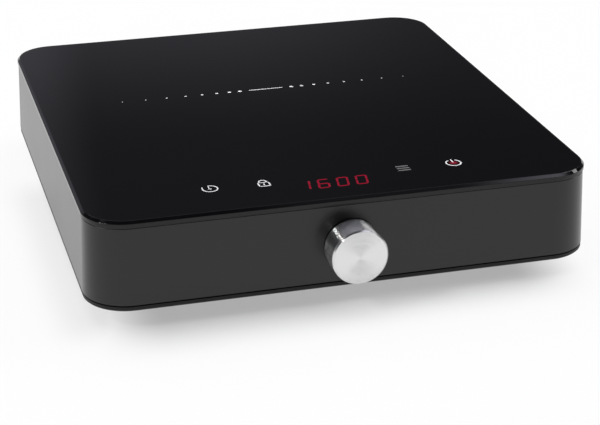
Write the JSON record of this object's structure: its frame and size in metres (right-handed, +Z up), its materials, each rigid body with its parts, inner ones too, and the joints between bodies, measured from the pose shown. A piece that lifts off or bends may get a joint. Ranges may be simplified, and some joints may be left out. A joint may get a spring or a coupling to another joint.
{
  "type": "induction cooktop",
  "caption": "Portable induction cooktop: bevelled black glass on a drafted black housing, stepped base on rubber feet, touch keys, red figure display and a turning front knob.",
  "frame": {"origin": "on the floor under the middle of the whole box, knob and cord gland included", "axes": "+X to the right seen from the front, +Y to the back, away from the knob, +Z up"},
  "size_m": [0.3022, 0.347, 0.065],
  "materials": {
    "black_glass": "gloss",
    "seal_silicone": "matt",
    "housing_plastic": "satin",
    "tray_plastic": "fine grain",
    "foot_rubber": "matt",
    "screw_steel": "zinc plated",
    "knob_aluminium": "spun",
    "insert_plastic": "moulded",
    "shaft_steel": "turned",
    "nut_steel": "plated",
    "gland_nylon": "moulded",
    "bracket_plastic": "moulded",
    "circuit_board": "solder mask",
    "display_plastic": "moulded",
    "key_spring": "sprung wire",
    "lamp_resin": "clear resin",
    "mica": "pressed sheet",
    "winding_copper": "enamelled wire",
    "former_plastic": "glass filled",
    "ferrite": "sintered",
    "plug_rubber": "silicone",
    "thermistor_glass": "bead",
    "sink_aluminium": "extruded",
    "device_epoxy": "moulded",
    "film_case": "potted",
    "can_sleeve": "sleeve",
    "fuse_glass": "clear",
    "varistor_epoxy": "dipped",
    "terminal_brass": "plated",
    "block_plastic": "moulded",
    "lead_sleeve": "sleeve",
    "fan_plastic": "moulded",
    "bearing_bronze": "sintered"
  },
  "bodies": {
    "housing": {"glass_top": "black_glass", "glass_seal": "seal_silicone", "body_shell": "housing_plastic", "rear_grille": "housing_plastic", "base_tray": "tray_plastic", "rubber_feet": "foot_rubber", "base_screws": "screw_steel", "encoder_body": "nut_steel", "encoder_washer": "nut_steel", "encoder_nut": "nut_steel", "cord_gland": "gland_nylon", "gland_nut": "gland_nylon", "control_bracket": "bracket_plastic", "bracket_screws": "screw_steel", "control_board": "circuit_board", "control_screws": "screw_steel", "display_module": "display_plastic", "touch_pads": "key_spring", "key_lamps": "lamp_resin", "mica_sheet": "mica", "coil_winding": "winding_copper", "coil_former": "former_plastic", "ferrite_bars": "ferrite", "thermistor_plug": "plug_rubber", "thermistor": "thermistor_glass", "coil_screws": "screw_steel", "power_board": "circuit_board", "board_screws": "screw_steel", "heat_sink": "sink_aluminium", "power_transistor": "device_epoxy", "bridge_rectifier": "device_epoxy", "resonant_capacitor": "film_case", "filter_capacitor": "film_case", "choke_core": "ferrite", "choke_winding": "winding_copper", "transformer_core": "ferrite", "transformer_bobbin": "film_case", "smoothing_capacitor": "can_sleeve", "fuse": "fuse_glass", "varistor": "varistor_epoxy", "coil_terminals": "terminal_brass", "board_connector": "block_plastic", "mains_block": "block_plastic", "coil_leads": "lead_sleeve", "control_lead": "lead_sleeve", "fan_frame": "fan_plastic", "fan_bearing": "bearing_bronze", "fan_screws": "screw_steel"},
    "knob": {"knob_cap": "knob_aluminium", "knob_insert": "insert_plastic", "encoder_shaft": "shaft_steel"},
    "fan": {"fan_rotor": "fan_plastic", "fan_shaft": "shaft_steel"}
  },
  "joints": [
    {"name": "knob_turn", "type": "hinge", "parent": "housing", "child": "knob", "pos_m": [0, -0.16472, 0.0355], "axis": [0, -1, 0], "continuous": true},
    {"name": "fan_spin", "type": "hinge", "parent": "housing", "child": "fan", "pos_m": [-0.08046, -0.03305, 0.01795], "axis": [0, 0, 1], "continuous": true}
  ]
}
